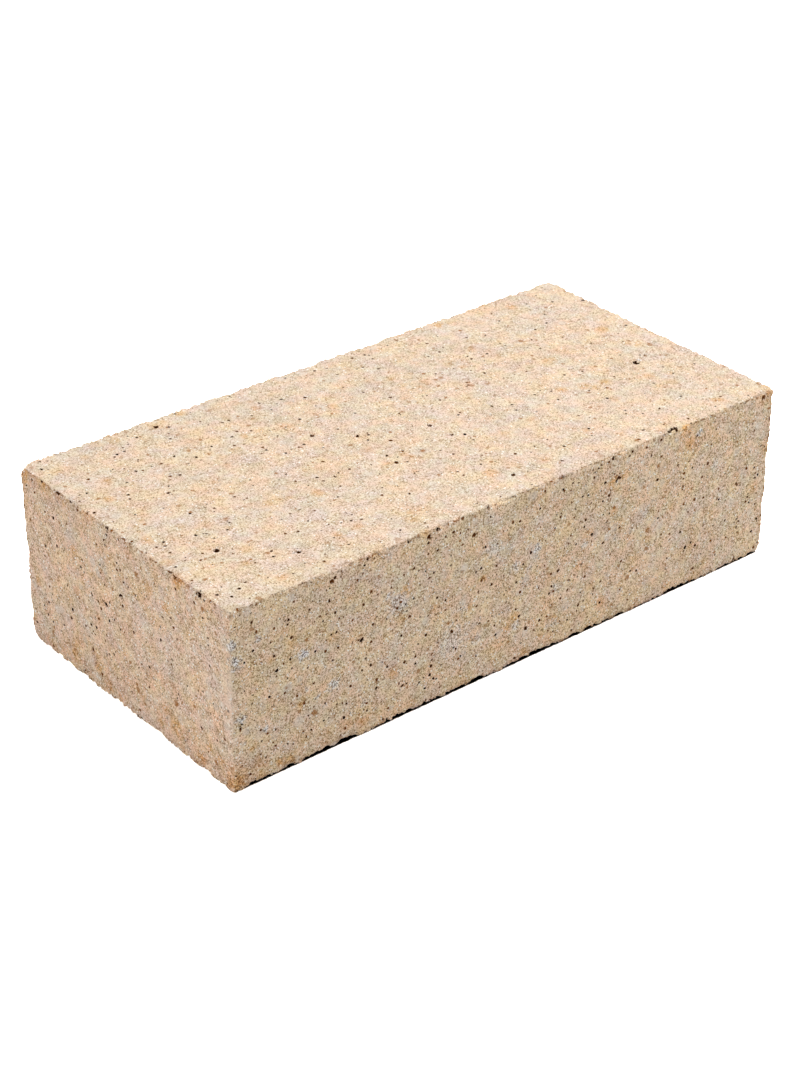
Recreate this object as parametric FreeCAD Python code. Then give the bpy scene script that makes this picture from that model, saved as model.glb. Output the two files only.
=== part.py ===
"""Standard straight fireclay brick: dense, unglazed, pressed in a mould and fired as one piece.

The brick lies on its bed face. X runs along its length, Y across its width and Z is up, with the origin at
the middle of the bottom bed face. Its sides are called left and right (the header ends, at -X and +X), front
and back (the stretcher faces, at -Y and +Y), bottom and top (the bed faces). An arris is the straight edge
where two sides meet. All sizes are in millimetres.
"""

import FreeCAD
import Part

import os
from collections import namedtuple
from math import sqrt

# The straight brick's own size
LENGTH = 230.0
WIDTH = 114.0
HEIGHT = 65.0

# Wear along every arris, as the radius it is rubbed down to
ARRIS_RADIUS = 0.6

# Knocked corners, as the depth lost below the rounded corner, straight in along its diagonal
CORNER_KNOCKS = {
    ("left", "front", "bottom"): 0.5,
    ("left", "front", "top"): 0.4,
    ("left", "back", "bottom"): 1.5,
    ("left", "back", "top"): 1.4,
    ("right", "front", "bottom"): 1.2,
    ("right", "front", "top"): 0.5,
    ("right", "back", "bottom"): 0.8,
    ("right", "back", "top"): 1.0,
}

# Chips out of the arrises. Each lies on the arris of two sides, at a place that is a share of the arris's
# run from its left, front or bottom end, with its length along the arris and its depth below the rounding.
Chip = namedtuple("Chip", "sides place length depth")
CHIPS = [
    Chip(("front", "bottom"), 0.08, 9.0, 0.7),
    Chip(("front", "bottom"), 0.17, 7.0, 0.5),
    Chip(("front", "bottom"), 0.26, 6.0, 0.4),
    Chip(("front", "bottom"), 0.55, 13.0, 1.1),
    Chip(("front", "bottom"), 0.74, 6.0, 0.4),
    Chip(("front", "bottom"), 0.85, 9.0, 0.6),
    Chip(("front", "top"), 0.19, 6.0, 0.6),
    Chip(("front", "top"), 0.44, 5.5, 0.5),
    Chip(("front", "top"), 0.79, 5.0, 0.6),
    Chip(("back", "top"), 0.36, 7.5, 0.7),
    Chip(("back", "top"), 0.51, 7.0, 0.7),
    Chip(("back", "top"), 0.63, 9.0, 0.8),
    Chip(("left", "top"), 0.13, 4.0, 0.6),
    Chip(("left", "top"), 0.74, 7.0, 0.5),
    Chip(("left", "bottom"), 0.38, 8.0, 0.6),
    Chip(("left", "bottom"), 0.80, 6.5, 0.5),
    Chip(("left", "back"), 0.15, 4.5, 0.5),
    Chip(("left", "back"), 0.50, 9.0, 0.6),
]

# The way each side faces
ALONG = FreeCAD.Vector(1, 0, 0)
ACROSS = FreeCAD.Vector(0, 1, 0)
UP = FreeCAD.Vector(0, 0, 1)
FACING = {"left": -ALONG, "right": ALONG, "front": -ACROSS, "back": ACROSS, "bottom": -UP, "top": UP}

# From the middle of the block to its corner on the right, back and top
HALF = FreeCAD.Vector(LENGTH / 2, WIDTH / 2, HEIGHT / 2)

# How far the rounding stands back from a sharp arris and from a sharp corner
ARRIS_WEAR = ARRIS_RADIUS * (sqrt(2) - 1)
CORNER_WEAR = ARRIS_RADIUS * (sqrt(3) - 1)


def blank():
    """The plain block about its own middle, with every arris rounded."""
    block = Part.makeBox(LENGTH, WIDTH, HEIGHT, -HALF)
    return block.makeFillet(ARRIS_RADIUS, block.Edges)


def outward(sides):
    """The way two or three sides face together: 1 or -1 along each of their axes, and 0 along a free one."""
    return sum((FACING[side] for side in sides), FreeCAD.Vector())


def corner_piece(sides, depth):
    """The piece lost from a corner: a prism on the plane that crosses its three arrises equally far back."""
    facing = outward(sides)
    setback = sqrt(3) * (CORNER_WEAR + depth)
    corner = [way * half for way, half in zip(facing, HALF)]
    crossings = []
    for axis in range(3):
        crossing = FreeCAD.Vector(*corner)
        crossing[axis] -= facing[axis] * setback
        crossings.append(crossing)
    middle = (crossings[0] + crossings[1] + crossings[2]) / 3
    overshoot = 1.5
    outline = [middle + (crossing - middle) * overshoot for crossing in crossings]
    facet = Part.Face(Part.makePolygon(outline + outline[:1]))
    return facet.extrude(facing.normalize() * setback)


def chip_piece(chip):
    """The piece lost from an arris: a ball that scoops the chip's length and depth out of the rounding."""
    facing = outward(chip.sides)
    share = [way if way else 2 * chip.place - 1 for way in facing]
    point = FreeCAD.Vector(*(part * half for part, half in zip(share, HALF)))
    radius = (chip.length**2 / 4 + chip.depth**2) / (2 * chip.depth)
    centre = point + facing.normalize() * (radius - chip.depth - ARRIS_WEAR)
    ball = Part.makeSphere(radius)
    ball.Placement = FreeCAD.Placement(centre, FreeCAD.Rotation(UP, facing))
    return ball


def firebrick():
    """The rounded block less the pieces lost from its corners and arrises, set down on its bed face."""
    lost = [corner_piece(sides, depth) for sides, depth in CORNER_KNOCKS.items()]
    lost += [chip_piece(chip) for chip in CHIPS]
    (brick,) = blank().cut(lost).Solids
    return brick.translated(UP * HEIGHT / 2)


os.makedirs("parts", exist_ok=True)
brick = firebrick()
brick.exportStep("parts/firebrick.step")
print("firebrick: valid", brick.isValid(), "volume cm3", round(brick.Volume / 1000, 1))
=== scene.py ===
from collections import namedtuple
from functools import cached_property

import bpy
import numpy as np
from mathutils import Matrix, Vector


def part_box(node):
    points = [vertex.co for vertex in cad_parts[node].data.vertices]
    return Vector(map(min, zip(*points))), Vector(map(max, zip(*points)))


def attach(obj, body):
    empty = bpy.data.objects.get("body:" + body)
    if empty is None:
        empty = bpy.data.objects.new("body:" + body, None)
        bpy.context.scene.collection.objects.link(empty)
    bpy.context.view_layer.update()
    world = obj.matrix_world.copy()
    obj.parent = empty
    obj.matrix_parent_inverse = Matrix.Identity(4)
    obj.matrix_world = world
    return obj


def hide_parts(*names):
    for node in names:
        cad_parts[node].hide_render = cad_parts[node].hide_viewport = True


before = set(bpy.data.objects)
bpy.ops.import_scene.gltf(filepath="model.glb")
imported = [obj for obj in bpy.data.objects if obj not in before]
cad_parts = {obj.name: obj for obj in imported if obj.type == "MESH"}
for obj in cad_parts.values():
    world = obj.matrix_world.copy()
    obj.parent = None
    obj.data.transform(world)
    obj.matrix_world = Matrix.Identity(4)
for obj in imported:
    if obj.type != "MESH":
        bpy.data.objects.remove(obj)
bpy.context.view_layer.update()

# The firebrick: one block of fireclay and crushed grog, pressed in a mould, fired hard and left unglazed.
# Its arrises are rubbed round and crumbled, its corners are knocked, small chips are missing along its edges,
# and the grog, iron specks and burnt-out holes in the clay make every face grainy.

# Sizes on the brick and of the painted shadow under it are in millimetres, and places in the studio round it
# in metres
MILLIMETRE = 0.001
low, high = (np.array(corner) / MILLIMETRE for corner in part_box("firebrick"))
middle = (low + high) / 2
half = (high - low) / 2

FACING = {
    "left": np.array([-1, 0, 0]),
    "right": np.array([1, 0, 0]),
    "front": np.array([0, -1, 0]),
    "back": np.array([0, 1, 0]),
    "bottom": np.array([0, 0, -1]),
    "top": np.array([0, 0, 1]),
}


def depth_below(points, side):
    """How far each point lies in from the plane of a side."""
    facing = FACING[side]
    return half @ np.abs(facing) - (points - middle) @ facing


def arris_distance(points):
    """How far each point of the skin lies from the nearest arris: the second smallest of its depths below
    the six sides."""
    depths = np.stack([depth_below(points, side) for side in FACING], axis=1)
    return np.partition(depths, 1, axis=1)[:, 1]


def bell(distance, reach):
    """1 at no distance, falling to 0 as a bell curve of the given reach."""
    return np.exp(-((distance / reach) ** 2))


def smooth_noise(points, pitch, seed):
    """Noise between -1 and 1: a random value at each corner of a cubic lattice of the given pitch, blended
    between the eight corners round a point with the smooth weight 3 t squared less 2 t cubed."""
    size = 128
    table = np.random.default_rng(seed).uniform(-1, 1, (size, size, size))
    cell = np.floor(points / pitch)
    share = points / pitch - cell
    share = share * share * (3 - 2 * share)
    total = np.zeros(len(points))
    for corner in np.ndindex(2, 2, 2):
        weight = np.prod(np.where(corner, share, 1 - share), axis=1)
        place = (cell.astype(int) + corner) % size
        total += weight * table[tuple(place.T)]
    return total


# Wear of the arrises: the radius that they are rubbed down to, the depths of the coarse and fine grains that
# have crumbled out of them and of the teeth that single grains leave, how far in from an arris each reaches,
# and how far a side makes a difference to them
ARRIS_RADIUS = 0.6
COARSE_CRUMB = 0.9
FINE_CRUMB = 0.8
CRUMB_REACH = 1.2
TOOTH = 0.7
TOOTH_REACH = 0.8
SIDE_REACH = 3.0


def wear_radius(points):
    """The wear radius near each point: a little under the usual one, more or less by noise at two sizes."""
    uneven = 0.55 + 0.6 * smooth_noise(points, 6.5, 1) + 0.5 * smooth_noise(points, 2.3, 2)
    return ARRIS_RADIUS * np.clip(uneven, 0.25, 2.5)


def rounded_block(points, radius):
    """The sharp block with worn arrises: each point is drawn in to one wear radius from the nearest point of
    the core, which is the block less that radius all round. Also gives the way out of the block there."""
    core = np.clip(points, low + radius[:, None], high - radius[:, None])
    outward = points - core
    outward /= np.linalg.norm(outward, axis=1, keepdims=True)
    return core + outward * radius[:, None], outward


def crumbled(points):
    """Depth of the grains lost at each point: coarse and fine noise above a level, up to the depth of either
    grain, and the teeth of single grains, all fading as bells away from the arris. Less is lost on the
    upright arrises, most grains go along the front and most teeth are along the bottom."""
    coarse = COARSE_CRUMB * np.clip(2.5 * smooth_noise(points, 3.6, 3) - 0.8, 0, 1)
    fine = FINE_CRUMB * np.clip(4.0 * smooth_noise(points, 1.2, 9) - 1.0, 0, 1)
    tooth = TOOTH * np.clip(2.5 * smooth_noise(points, 0.8, 10) + 0.2, 0, 1)
    distance = arris_distance(points)
    near_top = bell(depth_below(points, "top"), SIDE_REACH)
    near_bottom = bell(depth_below(points, "bottom"), SIDE_REACH)
    near_front = bell(depth_below(points, "front"), SIDE_REACH)
    lost = (coarse + fine) * (0.3 + 0.7 * (near_top + near_bottom)) * (0.7 + 1.5 * near_front)
    teeth = tooth * (0.4 + 0.3 * near_top + 1.4 * near_bottom)
    return lost * bell(distance, CRUMB_REACH) + teeth * bell(distance, TOOTH_REACH)


# The bottom bed is worn away along the front arris, so that the brick stands clear of the floor there. The
# worn lip starts a little way in from the left end, and runs out towards both ends
LIP_LIFT = 1.0
LIP_DEPTH = 6.0
LIP_HEIGHT = 7.0
LIP_START = 3.0
LIP_RUN_OUT = 5.0


def lip_lift(points):
    """Lift of the front bottom arris: full at the arris, uneven by noise at two sizes, fading as a square
    over the lip's depth and height and evenly over its run-out towards either end."""
    inward = np.clip(1 - depth_below(points, "front") / LIP_DEPTH, 0, 1)
    upward = np.clip(1 - depth_below(points, "bottom") / LIP_HEIGHT, 0, 1)
    end_distance = np.minimum(depth_below(points, "left") - LIP_START, depth_below(points, "right"))
    run_out = np.clip(end_distance / LIP_RUN_OUT, 0, 1)
    uneven = 0.85 + 0.8 * smooth_noise(points, 9.0, 6) + 0.7 * smooth_noise(points, 2.0, 8)
    return LIP_LIFT * np.clip(uneven, 0, None) * run_out * inward**2 * upward**2


# Corners knocked off flat, as in the part's source: the depth lost below the rounded corner
CORNER_KNOCKS = {
    ("left", "front", "bottom"): 0.5,
    ("left", "front", "top"): 0.4,
    ("left", "back", "bottom"): 1.5,
    ("left", "back", "top"): 1.4,
    ("right", "front", "bottom"): 1.2,
    ("right", "front", "top"): 0.5,
    ("right", "back", "bottom"): 0.8,
    ("right", "back", "top"): 1.0,
}


def knocked(points, sides, depth, rough):
    """Corner knocked off: whatever stands beyond a rough plane across the corner is pressed back to it."""
    facing = sum(FACING[side] for side in sides)
    normal = facing / np.sqrt(3)
    reach = normal @ (middle + facing * half) - (np.sqrt(3) - 1) * ARRIS_RADIUS - depth
    beyond = points @ normal - reach - rough
    return points - np.clip(beyond, 0, None)[:, None] * normal


# Chips out of the arrises, as in the part's source: their two sides, the place as a share of the arris's run
# from its left, front or bottom end, the length along it and the depth below the rounding
Chip = namedtuple("Chip", "sides place length depth")
CHIPS = [
    Chip(("front", "bottom"), 0.08, 9.0, 0.7),
    Chip(("front", "bottom"), 0.17, 7.0, 0.5),
    Chip(("front", "bottom"), 0.26, 6.0, 0.4),
    Chip(("front", "bottom"), 0.55, 13.0, 1.1),
    Chip(("front", "bottom"), 0.74, 6.0, 0.4),
    Chip(("front", "bottom"), 0.85, 9.0, 0.6),
    Chip(("front", "top"), 0.19, 6.0, 0.6),
    Chip(("front", "top"), 0.44, 5.5, 0.5),
    Chip(("front", "top"), 0.79, 5.0, 0.6),
    Chip(("back", "top"), 0.36, 7.5, 0.7),
    Chip(("back", "top"), 0.51, 7.0, 0.7),
    Chip(("back", "top"), 0.63, 9.0, 0.8),
    Chip(("left", "top"), 0.13, 4.0, 0.6),
    Chip(("left", "top"), 0.74, 7.0, 0.5),
    Chip(("left", "bottom"), 0.38, 8.0, 0.6),
    Chip(("left", "bottom"), 0.80, 6.5, 0.5),
    Chip(("left", "back"), 0.15, 4.5, 0.5),
    Chip(("left", "back"), 0.50, 9.0, 0.6),
]


def chipped(points, chip, rough):
    """Chip out of an arris: whatever lies inside a rough ball across the arris is pushed out to the ball's
    skin, away from its centre and so into the brick."""
    facing = sum(FACING[side] for side in chip.sides)
    share = np.where(facing, facing, 2 * chip.place - 1)
    outward = facing / np.sqrt(2)
    radius = (chip.length**2 / 4 + chip.depth**2) / (2 * chip.depth)
    stand = radius - chip.depth - (np.sqrt(2) - 1) * ARRIS_RADIUS
    away = points - (middle + share * half + outward * stand)
    distance = np.linalg.norm(away, axis=1)
    push = np.clip(radius + rough - distance, 0, None)
    return points + away * (push / distance)[:, None]


# Pits that stand out on the faces: the side, the place along and across it, the width and how black it is,
# which is partly painted shade
Pit = namedtuple("Pit", "side along across width black")
PITS = [
    Pit("top", 92.0, -13.0, 2.6, 1.0),
    Pit("top", -97.0, -26.0, 2.1, 1.0),
    Pit("top", -66.0, 51.5, 1.9, 0.9),
    Pit("top", -78.0, -42.0, 1.7, 0.9),
    Pit("top", -29.5, 14.5, 1.7, 0.8),
    Pit("top", -19.5, -17.0, 1.6, 0.8),
    Pit("top", 4.5, -46.5, 1.6, 0.8),
    Pit("top", -18.0, 5.0, 1.6, 0.9),
    Pit("top", 5.5, -4.0, 1.6, 0.8),
    Pit("top", 30.5, -42.5, 1.3, 0.8),
    Pit("top", 45.5, 14.0, 1.3, 0.7),
    Pit("top", -40.5, -12.0, 1.3, 0.7),
    Pit("top", 7.0, -13.5, 1.3, 0.7),
    Pit("top", 0.5, 52.0, 1.3, 0.7),
    Pit("top", -104.0, -27.5, 1.2, 0.4),
    Pit("top", 65.3, -56.5, 2.0, 1.0),
    Pit("top", 66.7, -56.4, 2.2, 1.0),
    Pit("top", 68.0, -56.4, 1.8, 1.0),
    Pit("front", -65.5, 35.5, 1.9, 1.0),
    Pit("front", -77.0, 61.0, 1.9, 0.4),
    Pit("front", 42.0, 55.3, 1.5, 0.8),
    Pit("front", 3.0, 12.5, 1.6, 0.8),
    Pit("front", -46.5, 36.5, 1.3, 0.5),
    Pit("front", -17.0, 38.5, 1.3, 0.3),
    Pit("front", 17.5, 59.0, 1.15, 0.3),
    Pit("front", -65.5, 24.5, 1.05, 0.8),
    Pit("front", -75.5, 42.5, 0.95, 0.9),
    Pit("front", -88.0, 22.0, 1.05, 0.2),
    Pit("front", 38.0, 40.5, 1.05, 0.4),
    Pit("front", -85.5, 54.5, 0.95, 0.8),
    Pit("front", 33.7, 62.8, 0.9, 0.7),
    Pit("front", 32.5, 62.0, 1.0, 0.8),
    Pit("front", 31.0, 61.0, 0.9, 0.7),
    Pit("front", 30.7, 59.2, 1.0, 0.6),
    Pit("front", 42.5, 56.8, 0.9, 0.5),
    Pit("front", 41.2, 54.4, 1.3, 0.8),
    Pit("front", 43.0, 51.2, 1.0, 0.5),
    Pit("front", 38.7, 51.7, 1.0, 0.6),
    Pit("front", 74.7, 56.2, 0.9, 0.7),
    Pit("front", 69.7, 50.5, 1.0, 0.6),
    Pit("front", 83.5, 54.5, 0.8, 0.5),
    Pit("front", 72.7, 40.2, 0.9, 0.6),
    Pit("front", -14.5, 64.5, 2.4, 0.8),
    Pit("front", -39.0, 62.5, 2.2, 0.6),
    Pit("front", -35.5, 64.0, 1.8, 0.9),
    Pit("front", 110.0, 63.0, 2.0, 0.4),
    Pit("front", 39.0, 63.5, 1.6, 0.7),
    Pit("front", -20.5, 56.5, 1.8, 0.5),
    Pit("front", 38.0, 50.0, 1.2, 0.7),
    Pit("front", -88.5, 11.5, 1.15, 0.3),
    Pit("front", 89.0, 14.0, 1.15, 0.1),
    Pit("front", -55.5, 21.5, 1.05, 0.9),
    Pit("front", -17.5, 22.5, 1.05, 0.9),
    Pit("front", 8.0, 26.0, 1.05, 0.6),
    Pit("front", 15.0, 24.0, 0.95, 0.9),
    Pit("front", 94.5, 54.5, 0.95, 0.9),
    Pit("front", 102.5, 12.5, 0.9, 0.9),
    Pit("front", 109.0, 32.0, 0.9, 0.9),
    Pit("front", -93.5, 54.0, 0.95, 0.9),
    Pit("front", -107.0, 58.5, 0.9, 0.8),
    Pit("front", -92.5, 36.5, 0.9, 0.9),
    Pit("front", -80.0, 18.5, 0.95, 0.9),
    Pit("front", -112.0, 23.0, 0.95, 0.9),
    Pit("front", -71.5, 14.5, 0.95, 0.9),
    Pit("front", -30.0, 52.5, 0.95, 0.9),
    Pit("front", -37.0, 49.0, 0.95, 0.9),
    Pit("front", -43.0, 25.0, 0.9, 0.9),
    Pit("front", -2.0, 32.0, 0.95, 0.9),
    Pit("left", -42.0, 63.8, 2.6, 1.0),
    Pit("left", 1.0, 42.5, 1.8, 1.0),
    Pit("left", 10.0, 35.0, 1.8, 1.0),
    Pit("left", 7.0, 18.0, 0.95, 0.8),
    Pit("left", -26.5, 48.0, 1.05, 0.8),
    Pit("left", 19.5, 13.5, 1.3, 0.7),
    Pit("left", -29.5, 42.0, 1.05, 0.8),
    Pit("left", -26.0, 33.0, 0.95, 0.8),
    Pit("left", -6.5, 15.5, 0.95, 0.7),
    Pit("left", 44.3, 64.3, 1.4, 0.8),
    Pit("left", 34.8, 64.3, 1.6, 0.8),
    Pit("left", 27.5, 64.4, 1.6, 0.9),
    Pit("left", 23.5, 63.2, 1.3, 0.5),
    Pit("left", 7.0, 64.4, 1.8, 0.9),
    Pit("left", 9.1, 59.1, 0.95, 0.7),
    Pit("left", -27.2, 64.5, 1.5, 0.7),
    Pit("left", -29.5, 64.0, 1.5, 0.4),
    Pit("left", 5.7, 31.6, 1.05, 0.8),
    Pit("left", 53.5, 46.4, 1.3, 0.4),
    Pit("left", -22.1, 46.2, 0.95, 0.7),
    Pit("left", 45.7, 36.3, 0.95, 0.5),
]

# Glassy grog grains and sparkling patches, whose sparkle is painted glints: the side, the place along and
# across it, the width and how clear the glass shows
Grain = namedtuple("Grain", "side along across width clear")
GRAINS = [
    Grain("front", -114.5, 53.5, 4.8, 0.95),
    Grain("front", -113.0, 46.5, 5.4, 1.0),
    Grain("front", -104.8, 51.6, 3.8, 0.7),
    Grain("front", -88.0, 39.6, 5.8, 0.95),
    Grain("front", -111.8, 26.0, 4.6, 0.9),
    Grain("front", -87.0, 26.5, 3.4, 0.7),
    Grain("front", -83.0, 22.5, 3.1, 0.8),
    Grain("front", -76.5, 24.0, 6.0, 0.75),
    Grain("front", -102.5, 19.0, 3.9, 0.85),
    Grain("front", -64.5, 12.0, 4.8, 0.4),
    Grain("front", -50.5, 43.5, 11.0, 0.5),
    Grain("front", -55.0, 47.5, 3.8, 0.7),
    Grain("front", -29.0, 21.0, 14.0, 0.5),
    Grain("front", -19.0, 17.0, 6.0, 0.5),
    Grain("front", -12.5, 48.5, 9.0, 0.5),
    Grain("front", 6.5, 41.5, 5.3, 0.8),
    Grain("front", 3.5, 35.0, 3.1, 0.7),
    Grain("front", -2.5, 38.0, 5.5, 0.55),
    Grain("front", 15.5, 23.0, 7.0, 0.4),
    Grain("front", 28.0, 35.0, 4.8, 0.5),
    Grain("front", -1.5, 15.5, 5.0, 0.6),
    Grain("front", 16.0, 10.0, 4.3, 0.5),
    Grain("front", -24.0, 31.0, 5.5, 0.4),
    Grain("front", 79.0, 60.0, 3.8, 0.9),
    Grain("front", 55.0, 37.5, 5.5, 0.4),
    Grain("front", 87.5, 44.5, 4.8, 0.4),
    Grain("top", 94.5, -12.0, 2.6, 0.8),
    Grain("top", -79.5, -41.5, 2.4, 0.7),
    Grain("top", -96.0, -24.5, 2.4, 0.5),
]


def spot_place(spot):
    """Where a spot lies on the plane of its side. Along runs with X, or with Y on the left and right sides,
    and across runs with Z, or with Y on the top and bottom."""
    place = middle + FACING[spot.side] * half
    place[FACING[spot.side] == 0] = spot.along, spot.across
    return place


def spot_cover(points, spots):
    """How well the nearest spot covers each point, 1 in its middle, 0 at its rim and down to -1 outside, and
    the number of that spot."""
    places = np.array([spot_place(spot) for spot in spots])
    half_widths = np.array([spot.width for spot in spots]) / 2
    away = np.linalg.norm(points[:, None] - places, axis=2) / half_widths
    nearest = np.argmin(away, axis=1)
    return np.clip(1 - away[np.arange(len(points)), nearest], -1, None), nearest


# The skin is ruled in square blocks of cells. A block keeps its cells near an arris or a pit, and is one face
# elsewhere
CELL_PITCH = 0.34
BLOCK_CELLS = 5
ARRIS_BAND = 2.0


def is_detailed(points):
    """Whether the skin keeps its cells near each point: in the band along an arris, or no farther from the
    middle of a pit than the pit's width."""
    near_pit = spot_cover(points, PITS)[0] > -1
    return (arris_distance(points) < ARRIS_BAND) | near_pit


def ruled_lines(start, end):
    """Places of the lines between cells on one axis: even steps of about the cell pitch, in whole blocks."""
    blocks = round((end - start) / (CELL_PITCH * BLOCK_CELLS))
    return np.linspace(start, end, blocks * BLOCK_CELLS + 1)


def side_faces(sheet, detailed):
    """The faces of one side, from the numbers of its lattice points: a quad over each cell of the detailed
    blocks, and one polygon over each other block, with the cell corners that it shares with detailed
    neighbours."""
    quads = np.stack([sheet[:-1, :-1], sheet[1:, :-1], sheet[1:, 1:], sheet[:-1, 1:]], axis=-1)
    faces = [quads[np.kron(detailed, np.ones((BLOCK_CELLS, BLOCK_CELLS), bool))]]
    steps = np.arange(BLOCK_CELLS)
    rim_rows = np.concatenate([steps, np.full(BLOCK_CELLS, BLOCK_CELLS), BLOCK_CELLS - steps, 0 * steps])
    rim_columns = np.roll(rim_rows, BLOCK_CELLS)
    wide = np.pad(detailed, 1, constant_values=True)
    beside = np.stack([wide[1:-1, :-2], wide[2:, 1:-1], wide[1:-1, 2:], wide[:-2, 1:-1]], axis=-1)
    for neighbours in np.ndindex(2, 2, 2, 2):
        kept = np.repeat(neighbours, BLOCK_CELLS).astype(bool)
        kept[::BLOCK_CELLS] = True
        rows, columns = np.nonzero(~detailed & np.all(beside == neighbours, axis=-1))
        rows = BLOCK_CELLS * rows[:, None] + rim_rows[kept]
        columns = BLOCK_CELLS * columns[:, None] + rim_columns[kept]
        faces.append(sheet[rows, columns])
    return faces


def block_skin():
    """The skin of the sharp block: the lattice points on its six planes that its faces use, each once, and
    the faces, as arrays of point numbers wound to face outwards."""
    lines = [ruled_lines(low[axis], high[axis]) for axis in range(3)]
    block_middles = [(line[:-1:BLOCK_CELLS] + line[BLOCK_CELLS::BLOCK_CELLS]) / 2 for line in lines]
    outer = np.zeros([len(line) for line in lines], bool)
    outer[[0, -1]] = outer[:, [0, -1]] = outer[:, :, [0, -1]] = True
    number = np.full(outer.shape, -1)
    number[outer] = np.arange(outer.sum())
    points = np.stack([line[place] for line, place in zip(lines, np.nonzero(outer))], axis=1)
    faces = []
    for axis in range(3):
        for end in (0, -1):
            spans = [*block_middles[:axis], lines[axis][[end]], *block_middles[axis + 1:]]
            centres = np.stack(np.meshgrid(*spans, indexing="ij"), axis=-1).squeeze(axis)
            detailed = is_detailed(centres.reshape(-1, 3)).reshape(centres.shape[:2])
            order = -1 if (end == 0) != (axis == 1) else 1
            faces += [face[:, ::order] for face in side_faces(np.take(number, end, axis=axis), detailed)]
    used = np.unique(np.concatenate([face.ravel() for face in faces]))
    return points[used], [np.searchsorted(used, face) for face in faces]


# Rust-brown stains: the side, the place along and across it, the reach and the strength
Stain = namedtuple("Stain", "side along across reach strength")
STAINS = [
    Stain("left", -57.0, 3.0, 5.5, 1.3),
    Stain("left", -39.5, 3.0, 3.5, 0.8),
    Stain("left", -27.0, 8.0, 3.5, 0.9),
    Stain("left", -18.5, 6.0, 2.5, 0.5),
    Stain("left", -9.5, 7.0, 3.0, 0.4),
    Stain("left", 3.5, 3.0, 3.0, 0.6),
    Stain("left", 11.0, 3.5, 3.0, 0.7),
    Stain("left", 31.5, 6.0, 3.5, 0.8),
    Stain("left", 29.0, 12.5, 2.5, 0.5),
    Stain("left", 46.0, 4.0, 3.0, 0.6),
    Stain("left", 14.5, 27.5, 2.0, 0.9),
    Stain("left", -13.0, 21.5, 2.5, 0.5),
    Stain("left", 55.0, 63.0, 4.5, 1.1),
    Stain("left", 44.0, 64.0, 4.0, 0.9),
    Stain("left", 32.0, 64.0, 4.0, 0.9),
    Stain("left", 18.0, 64.5, 4.0, 0.6),
    Stain("left", -33.0, 64.0, 4.0, 0.9),
    Stain("left", -55.0, 46.5, 2.0, 0.8),
    Stain("front", -89.0, 23.0, 2.0, 1.1),
    Stain("front", -93.0, 3.5, 2.5, 1.0),
    Stain("front", -97.5, 4.5, 2.0, 0.8),
    Stain("front", -105.0, 4.5, 2.5, 0.8),
    Stain("front", -107.5, 13.5, 1.8, 0.8),
    Stain("front", -79.0, 6.0, 3.0, 0.5),
    Stain("front", -62.5, 5.0, 4.0, 0.5),
    Stain("front", -92.0, 45.5, 3.0, 0.6),
    Stain("front", -16.5, 39.0, 1.8, 1.2),
    Stain("front", -37.0, 36.0, 2.2, 0.8),
    Stain("front", 12.0, 28.5, 2.2, 0.8),
    Stain("front", 40.0, 54.0, 3.0, 0.7),
    Stain("front", 73.0, 64.0, 4.0, 0.9),
    Stain("front", 112.0, 63.0, 3.5, 0.8),
]

# Roughness of the knocked corners and chips, the depth of a pit for its width and how steep its wall is, and
# the low swells of the faces, which are sunk a little so that only the highest reach the full size
BREAK_ROUGHNESS = 0.3
PIT_DEPTH = 0.45
PIT_STEEPNESS = 1.4
SWELL = 0.08
SUNK = 0.05

sharp, faces = block_skin()
crumb_depth = crumbled(sharp)
points, outward = rounded_block(sharp, wear_radius(sharp))
points -= outward * crumb_depth[:, None]
points[:, 2] += lip_lift(sharp)
rough = BREAK_ROUGHNESS * smooth_noise(sharp, 1.5, 4)
for sides, depth in CORNER_KNOCKS.items():
    points = knocked(points, sides, depth, rough)
for chip in CHIPS:
    points = chipped(points, chip, rough)
pit_cover, pit_number = spot_cover(sharp, PITS)
pit_width = np.array([pit.width for pit in PITS])[pit_number]
pit_depth = PIT_DEPTH * pit_width * np.clip(PIT_STEEPNESS * pit_cover, 0, 1)
relief = SWELL * smooth_noise(sharp, 4.0, 5) + SWELL * smooth_noise(sharp, 9.0, 7) - SUNK
points = np.clip(points + outward * (relief - pit_depth)[:, None], low, high)

brick_mesh = bpy.data.meshes.new("firebrick_skin")
brick_mesh.from_pydata((points * MILLIMETRE).tolist(), [], [ring for face in faces for ring in face.tolist()])
brick_mesh.shade_smooth()

# Dirt and painted shade lie along the arrises and in the hollows where grains are lost, but not on the near
# upright arris, which is rubbed pale about a middle height
ARRIS_DIRT_AND_SHADE = 0.6
CRUMB_DIRT_AND_SHADE = 0.8
DIRT_AND_SHADE_REACH = 1.0
CLEAN_REACH = 2.6
RUBBED_HEIGHT = 36.0
RUBBED_RUN = 18.0
RUBBED_LEFT = 0.8
RUBBED_FRONT = 4.0

below_left = depth_below(sharp, "left")
below_front = depth_below(sharp, "front")
clean = bell(below_left, CLEAN_REACH) * bell(below_front, CLEAN_REACH)
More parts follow.
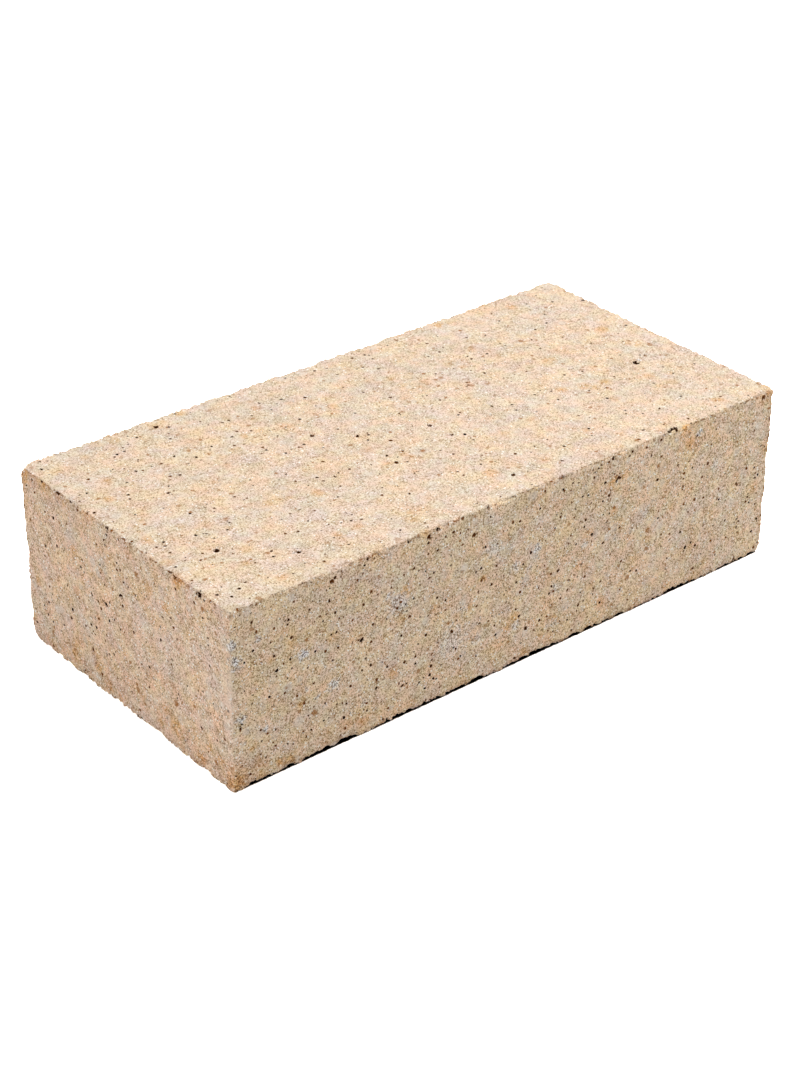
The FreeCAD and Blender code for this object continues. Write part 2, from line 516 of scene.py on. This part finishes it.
# Dirt and painted shade: darkening along the arrises and by the depth of the lost grains
dirt_and_shade = ARRIS_DIRT_AND_SHADE * bell(arris_distance(sharp), DIRT_AND_SHADE_REACH) + CRUMB_DIRT_AND_SHADE * crumb_depth
rubbed = bell(below_left, RUBBED_LEFT) * bell(below_front, RUBBED_FRONT)
rubbed *= bell(sharp[:, 2] - RUBBED_HEIGHT, RUBBED_RUN)
stained_by = np.zeros(len(sharp))
for stain in STAINS:
    away = np.linalg.norm(sharp - spot_place(stain), axis=1)
    stained_by += stain.strength * bell(away, stain.reach)
grain_cover, grain_number = spot_cover(sharp, GRAINS)
skin_values = {
    "bed_face": np.abs(outward[:, 2]),
    "end_face": np.abs(outward[:, 0]),
    "arris_dirt_and_shade": np.clip(dirt_and_shade, 0, 1) * (1 - clean),
    "rubbed": rubbed,
    "stain": stained_by,
    "pit": pit_cover,
    "pit_black": np.array([pit.black for pit in PITS])[pit_number],
    "grain": grain_cover,
    "grain_clear": np.array([grain.clear for grain in GRAINS])[grain_number],
}
for name, values in skin_values.items():
    brick_mesh.attributes.new(name, "FLOAT", "POINT").data.foreach_set("value", values)
brick = bpy.data.objects.new("firebrick_piece", brick_mesh)
bpy.context.scene.collection.objects.link(brick)

# Colours of the clay from its darkest tone to its palest, on the long and end faces and on the paler beds
SIDE_TONES = [
    (0.00, (0.37, 0.235, 0.132)),
    (0.25, (0.613, 0.436, 0.281)),
    (0.50, (0.776, 0.597, 0.418)),
    (0.75, (0.88, 0.704, 0.521)),
    (1.00, (0.96, 0.815, 0.64)),
]
BED_TONES = [
    (0.00, (0.435, 0.30, 0.19)),
    (0.25, (0.64, 0.482, 0.34)),
    (0.50, (0.777, 0.618, 0.468)),
    (0.75, (0.842, 0.69, 0.546)),
    (1.00, (0.895, 0.77, 0.64)),
]

# Colours of a glassy grain, from the cracks in it to its glints, which are painted highlights
GRAIN_TONES_AND_PAINTED_GLINTS = [
    (0.37, (0.21, 0.175, 0.15)),
    (0.44, (0.52, 0.46, 0.42)),
    (0.52, (0.77, 0.70, 0.645)),
    (0.58, (0.99, 0.965, 0.945)),
]

# Tints, which multiply the clay's colour: of the end faces, of the drifts through the clay, of the iron blots
# and of the stains
END_TINT = (1.0, 0.96, 0.985)
GREY_TINT = (0.96, 1.0, 1.07)
ORANGE_TINT = (1.07, 1.0, 0.89)
PINK_TINT = (1.015, 0.977, 1.015)
GREEN_TINT = (0.985, 1.02, 0.985)
BLOT_TINT = (0.90, 0.66, 0.38)
STAIN_TINT = (0.96, 0.75, 0.50)

# Colours of what lies in the clay and on it. The glint is a painted highlight, the dirt is partly painted
# shade, and the dark brown to black of the holes and pits is partly painted shade
FLECK = (0.78, 0.69, 0.61)
IRON = (0.36, 0.148, 0.041)
PAINTED_GLINT = (1.0, 0.95, 0.88)
HOLE_SHADE_BLACK = (0.012, 0.005, 0.003)
HOLE_BROWN = (0.19, 0.07, 0.02)
DIRT_AND_SHADE = (0.24, 0.095, 0.028)
RUBBED_CLAY = (0.83, 0.70, 0.59)
STAIN_SPECK = (0.20, 0.08, 0.02)
PIT_BROWN = (0.30, 0.115, 0.03)
PIT_SHADE_BLACK = (0.03, 0.008, 0.002)

# Round specks in the clay: the spacing of the cells that they lie in, the share of the cells that hold one,
# the smallest and the largest radius, and the softness of the rim
Specks = namedtuple("Specks", "spacing share smallest largest softness")
FLECKS = Specks(3.6, 0.7, 0.6, 2.4, 0.9)
BLOTS = Specks(5.4, 0.6, 1.0, 3.8, 2.2)
LARGE_IRON = Specks(5.0, 0.55, 0.35, 1.5, 0.6)
SMALL_IRON = Specks(2.4, 0.6, 0.16, 0.9, 0.25)
PINHOLES = Specks(2.0, 0.88, 0.20, 0.66, 0.14)

# Sizes of the crushed grains and of the noise between them, and the height of the relief that is only shaded
SMALL_GRAIN = 0.75
LARGE_GRAIN = 1.7
FINE_GRAIN = 0.42
RELIEF_HEIGHT = 0.20


class Nodes:
    """The nodes of one material or of the world, with short ways to add them."""

    def __init__(self, owner):
        owner.use_nodes = True
        self.tree = owner.node_tree
        self.tree.nodes.clear()

    def add(self, kind, sockets=None, **settings):
        """A node with its settings; its named input sockets take a value or another node's output."""
        made = self.tree.nodes.new(kind)
        for name, value in settings.items():
            setattr(made, name, value)
        for name, value in (sockets or {}).items():
            if isinstance(value, bpy.types.NodeSocket):
                self.tree.links.new(value, made.inputs[name])
            else:
                made.inputs[name].default_value = value
        return made

    def math(self, operation, *values, clamp=False):
        """One sum with one to three values, kept between 0 and 1 if it is clamped."""
        sockets = dict(enumerate(values))
        return self.add("ShaderNodeMath", sockets, operation=operation, use_clamp=clamp).outputs[0]

    def swing(self, value, weight, level=0.0, clamp=False):
        """How far a value stands from 0.5, times a weight, above or below a level."""
        return self.math("MULTIPLY_ADD", self.math("SUBTRACT", value, 0.5), weight, level, clamp=clamp)

    @cached_property
    def place(self):
        """Where each point lies, from the piece's own origin."""
        return self.add("ShaderNodeTexCoord").outputs["Object"]

    def noise(self, size, detail=1.0, kind="Fac"):
        """Smooth noise of the given size in millimetres, as a value about 0.5 or as a colour."""
        sockets = {"Vector": self.place, "Scale": 1 / (size * MILLIMETRE), "Detail": detail}
        return self.add("ShaderNodeTexNoise", sockets).outputs[kind]


class ClayNodes(Nodes):
    """The nodes of the clay, with the patterns that more than one of its layers uses."""

    def __init__(self, material):
        super().__init__(material)
        self.bed = self.attribute("bed_face")
        self.end = self.attribute("end_face")
        self.upright = self.math("SUBTRACT", 1.0, self.bed)
        self.small_distance, self.small_chance = self.grains(SMALL_GRAIN)
        self.large_distance, self.large_chance = self.grains(LARGE_GRAIN)
        self.fine = self.noise(FINE_GRAIN, detail=0.0)

    def attribute(self, name):
        """One of the values that the skin carries."""
        return self.add("ShaderNodeAttribute", attribute_name=name).outputs["Fac"]

    def vector(self, operation, sockets):
        """One sum with vectors."""
        return self.add("ShaderNodeVectorMath", sockets, operation=operation).outputs[0]

    @cached_property
    def stirred(self):
        """The place of each point, moved a little by noise, so that the grains on it have rough sides."""
        stir = self.vector("SUBTRACT", {0: self.noise(0.9, kind="Color"), 1: (0.5, 0.5, 0.5)})
        stir = self.vector("SCALE", {0: stir, "Scale": 0.8 * MILLIMETRE})
        return self.vector("ADD", {0: self.place, 1: stir})

    def grains(self, size):
        """Grains of the given size: how far each point is from the middle of its grain, as a share of that
        size, and three chances of the grain's own."""
        sockets = {"Vector": self.stirred, "Scale": 1 / (size * MILLIMETRE)}
        cells = self.add("ShaderNodeTexVoronoi", sockets).outputs
        chance = self.add("ShaderNodeTexWhiteNoise", {"Vector": cells["Color"]}).outputs["Color"]
        return cells["Distance"], self.add("ShaderNodeSeparateColor", {0: chance}).outputs

    def specks(self, kind):
        """Round specks: the middles of a random share of the cells, each out to a random radius, more of them
        small. Also gives a chance of the speck's own."""
        distance, chance = self.grains(kind.spacing)
        size = self.math("MULTIPLY", chance[1], chance[1])
        spread = (kind.largest - kind.smallest) / kind.spacing
        radius = self.math("MULTIPLY_ADD", size, spread, kind.smallest / kind.spacing)
        depth = self.math("SUBTRACT", radius, distance)
        inside = self.math("MULTIPLY", depth, kind.spacing / kind.softness, clamp=True)
        return self.math("MULTIPLY", inside, self.math("LESS_THAN", chance[0], kind.share)), chance[2]

    def faded(self, cover, chance, faintest, clearest):
        """A cover that shows from the faintest to the clearest by a chance."""
        return self.math("MULTIPLY", cover, self.math("MULTIPLY_ADD", chance, clearest - faintest, faintest))

    def peaks(self, size):
        """1 where noise of the given size stands high, and 0 elsewhere, with a short slope between."""
        return self.math("MULTIPLY", self.math("SUBTRACT", self.noise(size), 0.55), 8.0, clamp=True)

    def blend(self, share, under, over, how="MIX"):
        """A share of one colour over another. A mix node takes colours in its sockets 6 and 7, and gives its
        colour at output 2."""
        under, over = ((*colour, 1.0) if isinstance(colour, tuple) else colour for colour in (under, over))
        sockets = {0: share, 6: under, 7: over}
        return self.add("ShaderNodeMix", sockets, data_type="RGBA", blend_type=how).outputs[2]

    def ramp(self, value, stops):
        """The colour at a value, blended from the two stops that it lies between."""
        made = self.add("ShaderNodeValToRGB", {"Fac": value})
        band = made.color_ramp
        while len(band.elements) < len(stops):
            band.elements.new(1.0)
        for element, (position, colour) in zip(band.elements, stops):
            element.position = position
            element.color = (*colour, 1.0)
        return made.outputs["Color"]


def plain_clay(clay):
    """Colour of the clay by its tone. A tone of 0.5 is the usual buff, and the grains, fine noise and clouds
    each add to it and take from it about evenly, the large grains and small clouds more on the ends."""
    parts = [
        (clay.small_chance[0], 0.25),
        (clay.large_chance[0], clay.math("MULTIPLY_ADD", clay.end, 0.14, 0.16)),
        (clay.fine, 2.0),
        (clay.noise(3.5), clay.math("MULTIPLY_ADD", clay.end, 0.10, 0.30)),
        (clay.noise(12.0), 0.26),
    ]
    tone = 0.5
    for part, weight in parts:
        tone = clay.swing(part, weight, tone)
    colour = clay.blend(clay.bed, clay.ramp(tone, SIDE_TONES), clay.ramp(tone, BED_TONES))
    return clay.blend(clay.end, colour, END_TINT, "MULTIPLY")


def drifted(clay, colour):
    """Drifts through the clay, from grey to orange by noise at two sizes and from pink to green by noise at
    one, which change its tint and not its tone."""
    warmth = clay.swing(clay.noise(22.0), 0.8, clay.swing(clay.noise(7.0), 2.0, 0.5), clamp=True)
    greenness = clay.swing(clay.noise(4.5), 3.3, 0.5, clamp=True)
    colour = clay.blend(1.0, colour, clay.blend(warmth, GREY_TINT, ORANGE_TINT), "MULTIPLY")
    return clay.blend(1.0, colour, clay.blend(greenness, PINK_TINT, GREEN_TINT), "MULTIPLY")


def flecked(clay, colour):
    """Pale flecks of grog, soft at their rims and from faint to half clear."""
    return clay.blend(clay.faded(*clay.specks(FLECKS), 0.08, 0.50), colour, FLECK)


def rusty(clay, colour):
    """Iron in the clay: orange blots, and larger and smaller rust-brown specks, from faint to dark and all
    made ragged by noise."""
    ragged = clay.swing(clay.noise(0.8), 1.6, 1.0)
    blot = clay.faded(*clay.specks(BLOTS), 0.1, 0.7)
    colour = clay.blend(clay.math("MULTIPLY", blot, ragged, clamp=True), colour, BLOT_TINT, "MULTIPLY")
    for kind in (LARGE_IRON, SMALL_IRON):
        speck, chance = clay.specks(kind)
        speck = clay.math("MULTIPLY", speck, ragged, clamp=True)
        colour = clay.blend(clay.faded(speck, chance, 0.2, 0.9), colour, IRON)
    return colour


def painted_glints(clay, colour):
    """Painted glints, as painted highlights on the middles of some small grains: about a fifth of those on
    the sides and half as many on the beds."""
    # Painted highlights: glints painted into the colour as near-white specks
    painted_glint = clay.math("MULTIPLY", clay.math("SUBTRACT", 0.42, clay.small_distance), 8.0, clamp=True)
    level = clay.math("MULTIPLY_ADD", clay.bed, 0.10, 0.81)
    painted_glint = clay.math("MULTIPLY", painted_glint, clay.math("GREATER_THAN", clay.small_chance[1], level))
    return clay.blend(painted_glint, colour, PAINTED_GLINT)


def glassy(clay, colour):
    """The glassy grains that stand out, ragged by noise. Fine noise and each small grain's chance make cracks
    and painted glints, as painted highlights, in them."""
    ragged = clay.swing(clay.noise(1.5), 2.0, clay.attribute("grain"))
    grain = clay.math("MULTIPLY", ragged, 1.6, clamp=True)
    glass_and_painted_glints = clay.ramp(clay.swing(clay.small_chance[2], 0.3, clay.fine), GRAIN_TONES_AND_PAINTED_GLINTS)
    return clay.blend(clay.math("MULTIPLY", grain, clay.attribute("grain_clear")), colour, glass_and_painted_glints)


def pinholes(clay):
    """Cover and colour of the pinholes, left where something in the clay burnt out, dark brown to black
    partly as painted shade in the holes. They are fewer on the beds and ends, and towards the right."""
    along = clay.add("ShaderNodeSeparateXYZ", {0: clay.place}).outputs["X"]
    share = PINHOLES.share
    for value, change in ((clay.bed, -0.55), (clay.end, -0.55), (along, -1.2)):
        share = clay.math("MULTIPLY_ADD", value, change, share)
    hole, chance = clay.specks(PINHOLES._replace(share=share))
    # Painted shade: the holes are coloured dark brown to black
    return hole, clay.blend(chance, HOLE_SHADE_BLACK, HOLE_BROWN)


def worn_and_shaded(clay, colour):
    """Brown dirt and painted shade in patches where the arrises have crumbled, on the upright faces only,
    and pale rubbing on the near upright one.
    """
    # Painted shade mixed with dirt: the crumbled arrises are darkened on the upright faces only
    crumb_dirt_and_shade = clay.math("MULTIPLY", clay.attribute("arris_dirt_and_shade"), clay.upright)
    crumb_dirt_and_shade = clay.math("MULTIPLY", crumb_dirt_and_shade, 2.0, clamp=True)
    colour = clay.blend(clay.math("MULTIPLY", crumb_dirt_and_shade, clay.peaks(1.3)), colour, DIRT_AND_SHADE)
    rubbed = clay.faded(clay.attribute("rubbed"), clay.noise(3.0), -0.05, 0.85)
    return clay.blend(rubbed, colour, RUBBED_CLAY)


def stained(clay, colour):
    """Rust-brown stains on the upright faces, mottled by noise and specked darker."""
    stain = clay.math("MULTIPLY", clay.attribute("stain"), clay.upright)
    mottle = clay.math("MULTIPLY_ADD", clay.noise(1.8, detail=2.0), 4.0, -1.3)
    stain = clay.math("MULTIPLY", stain, mottle, clamp=True)
    colour = clay.blend(stain, colour, STAIN_TINT, "MULTIPLY")
    return clay.blend(clay.math("MULTIPLY", stain, clay.peaks(0.7)), colour, STAIN_SPECK)


def pits(clay):
    """Cover and colour of the pits that stand out, each ragged by noise and between brown and black, which is
    partly painted shade in the pits.
    """
    ragged = clay.swing(clay.noise(0.9), 1.6, clay.attribute("pit"))
    pit = clay.math("MULTIPLY", ragged, 3.5, clamp=True)
    return pit, clay.blend(clay.attribute("pit_black"), PIT_BROWN, PIT_SHADE_BLACK)


def shaded_relief(clay, sunk):
    """Relief that is only shaded: every grain a low dome, with fine noise between, sunk in the holes."""
    domes = clay.math("MULTIPLY", clay.math("ADD", clay.small_distance, clay.large_distance), -0.5)
    height = clay.math("MULTIPLY_ADD", clay.fine, 0.6, domes)
    height = clay.math("MULTIPLY_ADD", sunk, -1.2, height)
    sockets = {"Height": height, "Strength": 1.0, "Distance": RELIEF_HEIGHT * MILLIMETRE}
    return clay.add("ShaderNodeBump", sockets).outputs["Normal"]


def fired_clay():
    """Fired clay with grog, laid on in turn: the plain clay and its drifts, the flecks, iron, painted glints,
    glassy grains and pinholes in it, the dirt and painted shade at the arrises, the rubbing and stains of
    wear, and the pits that stand out. The dark of the holes and pits is partly painted shade."""
    material = bpy.data.materials.new("fired_clay")
    clay = ClayNodes(material)
    colour = plain_clay(clay)
    for layer in (drifted, flecked, rusty, painted_glints, glassy):
        colour = layer(clay, colour)
    hole, hole_colour = pinholes(clay)
    colour = clay.blend(hole, colour, hole_colour)
    colour = stained(clay, worn_and_shaded(clay, colour))
    pit, pit_colour = pits(clay)
    colour = clay.blend(pit, colour, pit_colour)
    shader = clay.add("ShaderNodeBsdfPrincipled", {
        "Base Color": colour,
        "Normal": shaded_relief(clay, clay.math("MAXIMUM", hole, pit)),
        "Roughness": 0.95,
        "Specular IOR Level": 0.05,
    })
    clay.add("ShaderNodeOutputMaterial", {"Surface": shader.outputs[0]})
    return material


brick_mesh.materials.append(fired_clay())
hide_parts("firebrick")
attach(brick, "root")

# The floor: one sheet of white paper, 1.8 m across, that the brick lies on. It sends back light as plain
# paper does, and shows to the camera as bright as an overexposed sheet, with a black shadow painted close
# under the brick.

FLOOR_HALF = 0.9
PAPER_WHITE = (0.8, 0.8, 0.8, 1.0)
SEEN_BRIGHTNESS = 3.5

# Painted shadow under the brick: how far in from all its sides it starts, as if light crept in that far, and
# how much farther from the left, how soft it then starts, and the size and depth of its ragged edge
CREEP = 0.1
CREEP_LEFT = 3.5
SHADE_SOFTNESS = 0.8
SHADE_GRIT = 2.0
SHADE_RAGGED = 0.8


def white_floor_with_painted_shadow():
    """White paper: plain for the light that it sends back, and brighter where it is seen, with a painted
    shadow down to black under the brick. How dark the painted shadow is goes by the least distance in from
    the brick's sides, less the creep, and made ragged by noise."""
    material = bpy.data.materials.new("white_floor_with_painted_shadow")
    paper = Nodes(material)
    along, across, _ = paper.add("ShaderNodeSeparateXYZ", {0: paper.place}).outputs
    left, front, _ = low * MILLIMETRE
    right, back, _ = high * MILLIMETRE
    inside = paper.math("SUBTRACT", along, left + CREEP_LEFT * MILLIMETRE)
    for larger, smaller in ((right, along), (across, front), (back, across)):
        inside = paper.math("MINIMUM", inside, paper.math("SUBTRACT", larger, smaller))
    inside = paper.math("SUBTRACT", inside, CREEP * MILLIMETRE)
    # Painted shadow: the floor seen by the camera is painted black under the brick's footprint, by distance,
    # not by light
    shade = paper.add("ShaderNodeMapRange", {
        "Value": paper.swing(paper.noise(SHADE_GRIT), SHADE_RAGGED * MILLIMETRE, inside),
        "From Max": SHADE_SOFTNESS * MILLIMETRE,
        "To Min": SEEN_BRIGHTNESS,
        "To Max": 0.0,
    })
    light_path = paper.add("ShaderNodeLightPath").outputs
    seen = paper.math("MAXIMUM", light_path["Is Camera Ray"], light_path["Is Glossy Ray"])
    seen = paper.math("MAXIMUM", seen, light_path["Is Transmission Ray"])
    plain = paper.add("ShaderNodeBsdfDiffuse", {"Color": PAPER_WHITE}).outputs[0]
    bright = paper.add("ShaderNodeBsdfDiffuse", {"Color": shade.outputs[0]}).outputs[0]
    both = paper.add("ShaderNodeMixShader", {0: seen, 1: plain, 2: bright}).outputs[0]
    paper.add("ShaderNodeOutputMaterial", {"Surface": both})
    return material


floor_corners = FLOOR_HALF * np.array([(-1, -1, 0), (1, -1, 0), (1, 1, 0), (-1, 1, 0)])
floor_corners[:, 2] = low[2] * MILLIMETRE
floor_mesh = bpy.data.meshes.new("floor_sheet")
floor_mesh.from_pydata(floor_corners.tolist(), [], [(0, 1, 2, 3)])
floor_mesh.materials.append(white_floor_with_painted_shadow())
floor = bpy.data.objects.new("floor", floor_mesh)
bpy.context.scene.collection.objects.link(floor)

# The light: a wide soft lamp overhead, a narrower one up at the left, a small weak one low down at the front
# right, and an even dim surround, as in a white studio. To the camera the surround shows as plain white.

Lamp = namedtuple("Lamp", "name place width power")
LAMPS = [
    Lamp("overhead_lamp", (0.25, 0.0, 0.9), 1.0, 9.7),
    Lamp("left_lamp", (-1.2, -0.3, 0.7), 0.5, 8.3),
    Lamp("right_lamp", (0.4, -0.4, 0.2), 0.3, 0.51),
]
SURROUND = 0.0665
SEEN_SURROUND = 1.0
WHITE = (1.0, 1.0, 1.0, 1.0)

for lamp in LAMPS:
    lamp_data = bpy.data.lights.new(lamp.name, "AREA")
    lamp_data.shape = "SQUARE"
    lamp_data.size = lamp.width
    lamp_data.energy = lamp.power
    lamp_object = bpy.data.objects.new(lamp.name, lamp_data)
    lamp_object.location = lamp.place
    lamp_object.rotation_euler = (-Vector(lamp.place)).to_track_quat("-Z", "Y").to_euler()
    bpy.context.scene.collection.objects.link(lamp_object)

world = bpy.data.worlds.new("studio")
studio = Nodes(world)
seen = studio.add("ShaderNodeLightPath").outputs["Is Camera Ray"]
dim = studio.add("ShaderNodeBackground", {"Color": WHITE, "Strength": SURROUND}).outputs[0]
white = studio.add("ShaderNodeBackground", {"Color": WHITE, "Strength": SEEN_SURROUND}).outputs[0]
both = studio.add("ShaderNodeMixShader", {0: seen, 1: dim, 2: white}).outputs[0]
studio.add("ShaderNodeOutputWorld", {"Surface": both})
bpy.context.scene.world = world
bpy.context.scene.view_settings.view_transform = "Standard"

# The camera: a long lens that looks down over the brick's near left corner from about 0.8 m away, turned a
# little about its own axis, as the photograph was taken.

CAMERA_TARGET = Vector((-0.01194, -0.01004, 0.0325))
CAMERA_AZIMUTH = np.radians(-39.681)
CAMERA_ELEVATION = np.radians(30.310)
CAMERA_ROLL = np.radians(0.515)
CAMERA_DISTANCE = 0.79301
CAMERA_LENS = 80.45
SENSOR_WIDTH = 36.0

backward = Vector((
    np.sin(CAMERA_AZIMUTH) * np.cos(CAMERA_ELEVATION),
    -np.cos(CAMERA_AZIMUTH) * np.cos(CAMERA_ELEVATION),
    np.sin(CAMERA_ELEVATION),
))
level = Vector((np.cos(CAMERA_AZIMUTH), np.sin(CAMERA_AZIMUTH), 0.0))
upward = backward.cross(level)
right = level * np.cos(CAMERA_ROLL) + upward * np.sin(CAMERA_ROLL)
camera_data = bpy.data.cameras.new("camera")
camera_data.lens = CAMERA_LENS
camera_data.sensor_width = SENSOR_WIDTH
camera = bpy.data.objects.new("camera", camera_data)
turn = Matrix((right, backward.cross(right), backward)).transposed().to_4x4()
camera.matrix_world = Matrix.Translation(CAMERA_TARGET + backward * CAMERA_DISTANCE) @ turn
bpy.context.scene.collection.objects.link(camera)
bpy.context.scene.camera = camera
